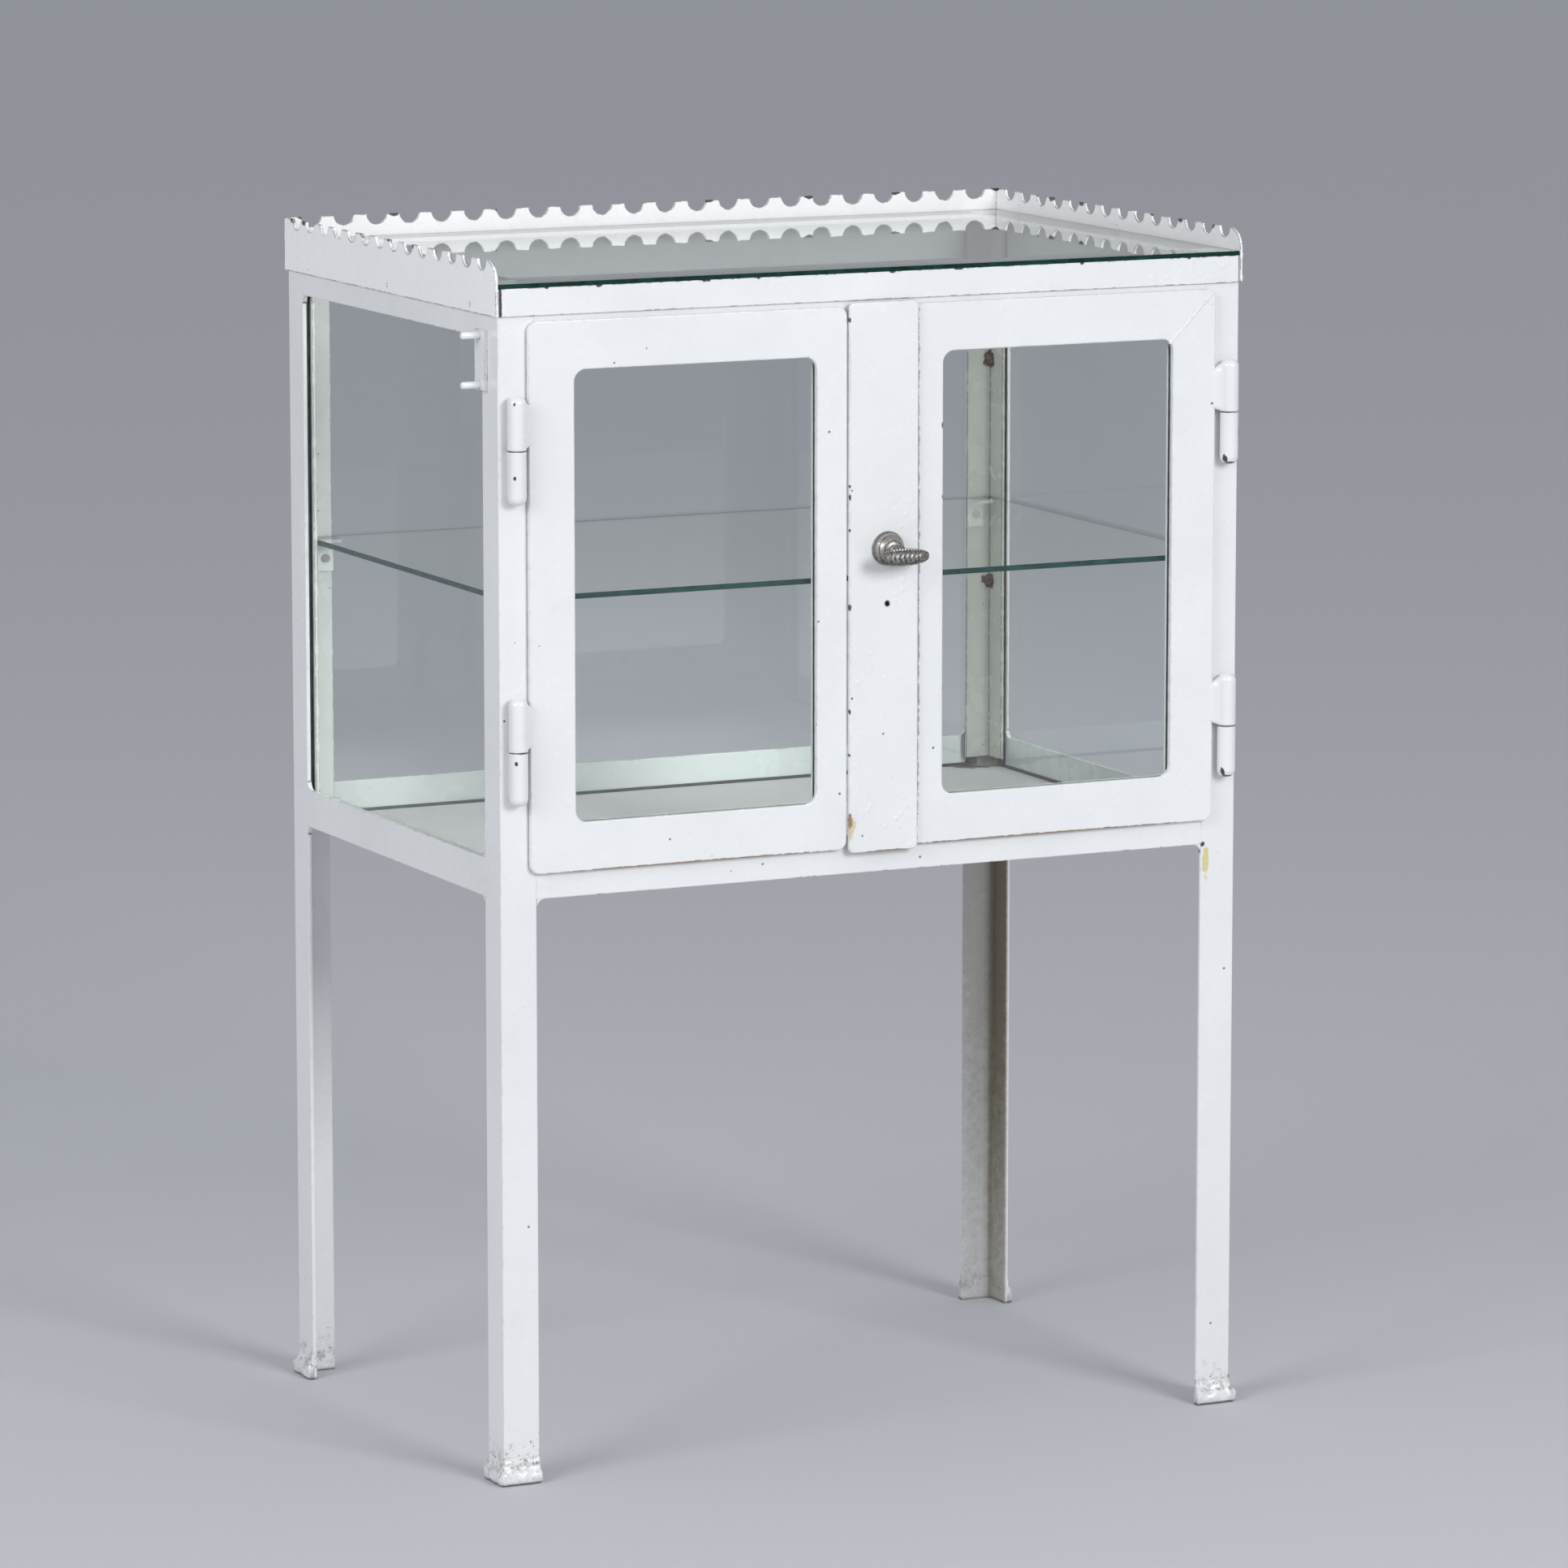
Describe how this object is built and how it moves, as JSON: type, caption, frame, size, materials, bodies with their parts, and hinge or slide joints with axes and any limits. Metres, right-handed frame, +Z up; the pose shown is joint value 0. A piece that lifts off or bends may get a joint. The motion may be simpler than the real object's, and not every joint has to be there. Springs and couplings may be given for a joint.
{
  "type": "medical cabinet",
  "caption": "Free-standing white iron and glass medical cabinet on angle-iron legs, with hinged glazed doors, a glass shelf and a notched gallery tray on top.",
  "frame": {"origin": "centre of the part's box at floor level", "axes": "+Z up, +X to the right along the front, the doors face -Y"},
  "size_m": [0.767, 0.533, 1.0995],
  "materials": {
    "white_paint": "gloss enamel",
    "clear_glass": "clear",
    "black_rubber": "matte",
    "aged_nickel": "worn cast",
    "plain_steel": "aged"
  },
  "bodies": {
    "cabinet": {"front_left_post": "white_paint", "front_right_post": "white_paint", "rear_left_post": "white_paint", "rear_right_post": "white_paint", "foot_lips": "white_paint", "front_bottom_rail": "white_paint", "rear_bottom_rail": "white_paint", "left_bottom_rail": "white_paint", "right_bottom_rail": "white_paint", "front_top_rail": "white_paint", "rear_top_rail": "white_paint", "left_top_rail": "white_paint", "right_top_rail": "white_paint", "rail_weld_fillets": "white_paint", "floor_panel": "white_paint", "rear_left_clamp_angle": "white_paint", "rear_right_clamp_angle": "white_paint", "front_left_clamp_bar": "white_paint", "front_right_clamp_bar": "white_paint", "front_fascia": "white_paint", "left_gallery": "white_paint", "rear_gallery": "white_paint", "right_gallery": "white_paint", "tray_rivets": "white_paint", "shelf_brackets": "white_paint", "side_holder": "white_paint", "hinge_post_knuckles": "white_paint", "rear_pane": "clear_glass", "left_pane": "clear_glass", "right_pane": "clear_glass", "top_glass": "clear_glass", "shelf_glass": "clear_glass", "pane_channels": "black_rubber", "clamp_screws": "plain_steel", "shelf_bracket_screws": "plain_steel", "hinge_pins": "plain_steel"},
    "left_door": {"left_door_frame": "white_paint", "left_door_seal": "black_rubber", "left_door_glass": "clear_glass", "left_door_retainer": "white_paint", "left_retainer_screws": "plain_steel", "left_hinge_leaves": "white_paint", "left_bolt_guides": "plain_steel"},
    "right_door": {"right_door_frame": "white_paint", "right_door_seal": "black_rubber", "right_door_glass": "clear_glass", "right_door_retainer": "white_paint", "right_retainer_screws": "plain_steel", "right_hinge_leaves": "white_paint", "cover_strip": "white_paint", "rosette": "aged_nickel", "rod_guides": "plain_steel"},
    "handle": {"handle_lever": "aged_nickel", "handle_spindle": "plain_steel", "handle_crank": "plain_steel"},
    "upper_rod": {"upper_rod": "plain_steel"},
    "lower_rod": {"lower_rod": "plain_steel"},
    "left_upper_bolt": {"left_upper_bolt": "plain_steel"},
    "left_lower_bolt": {"left_lower_bolt": "plain_steel"}
  },
  "joints": [
    {"name": "left_door_swing", "type": "hinge", "parent": "cabinet", "child": "left_door", "pos_m": [-0.3485, -0.2335, 0.8], "axis": [0, 0, -1], "range_deg": [0, 110]},
    {"name": "right_door_swing", "type": "hinge", "parent": "cabinet", "child": "right_door", "pos_m": [0.3635, -0.2335, 0.8], "axis": [0, 0, 1], "range_deg": [0, 110]},
    {"name": "handle_turn", "type": "hinge", "parent": "right_door", "child": "handle", "pos_m": [0.014, -0.2345, 0.827], "axis": [0, 1, 0], "range_deg": [0, 90]},
    {"name": "upper_rod_slide", "type": "slide", "parent": "right_door", "child": "upper_rod", "axis": [0, 0, 1], "range_m": [0, 0.01202]},
    {"name": "lower_rod_slide", "type": "slide", "parent": "right_door", "child": "lower_rod", "axis": [0, 0, -1], "range_m": [0, 0.0125]},
    {"name": "left_upper_bolt_slide", "type": "slide", "parent": "left_door", "child": "left_upper_bolt", "axis": [0, 0, 1], "range_m": [0, 0.012]},
    {"name": "left_lower_bolt_slide", "type": "slide", "parent": "left_door", "child": "left_lower_bolt", "axis": [0, 0, -1], "range_m": [0, 0.012]}
  ],
  "couplings": [
    {"joint": "handle_turn", "follows": "upper_rod_slide", "rad_per_m": 130.67},
    {"joint": "lower_rod_slide", "follows": "upper_rod_slide", "ratio": 1}
  ]
}
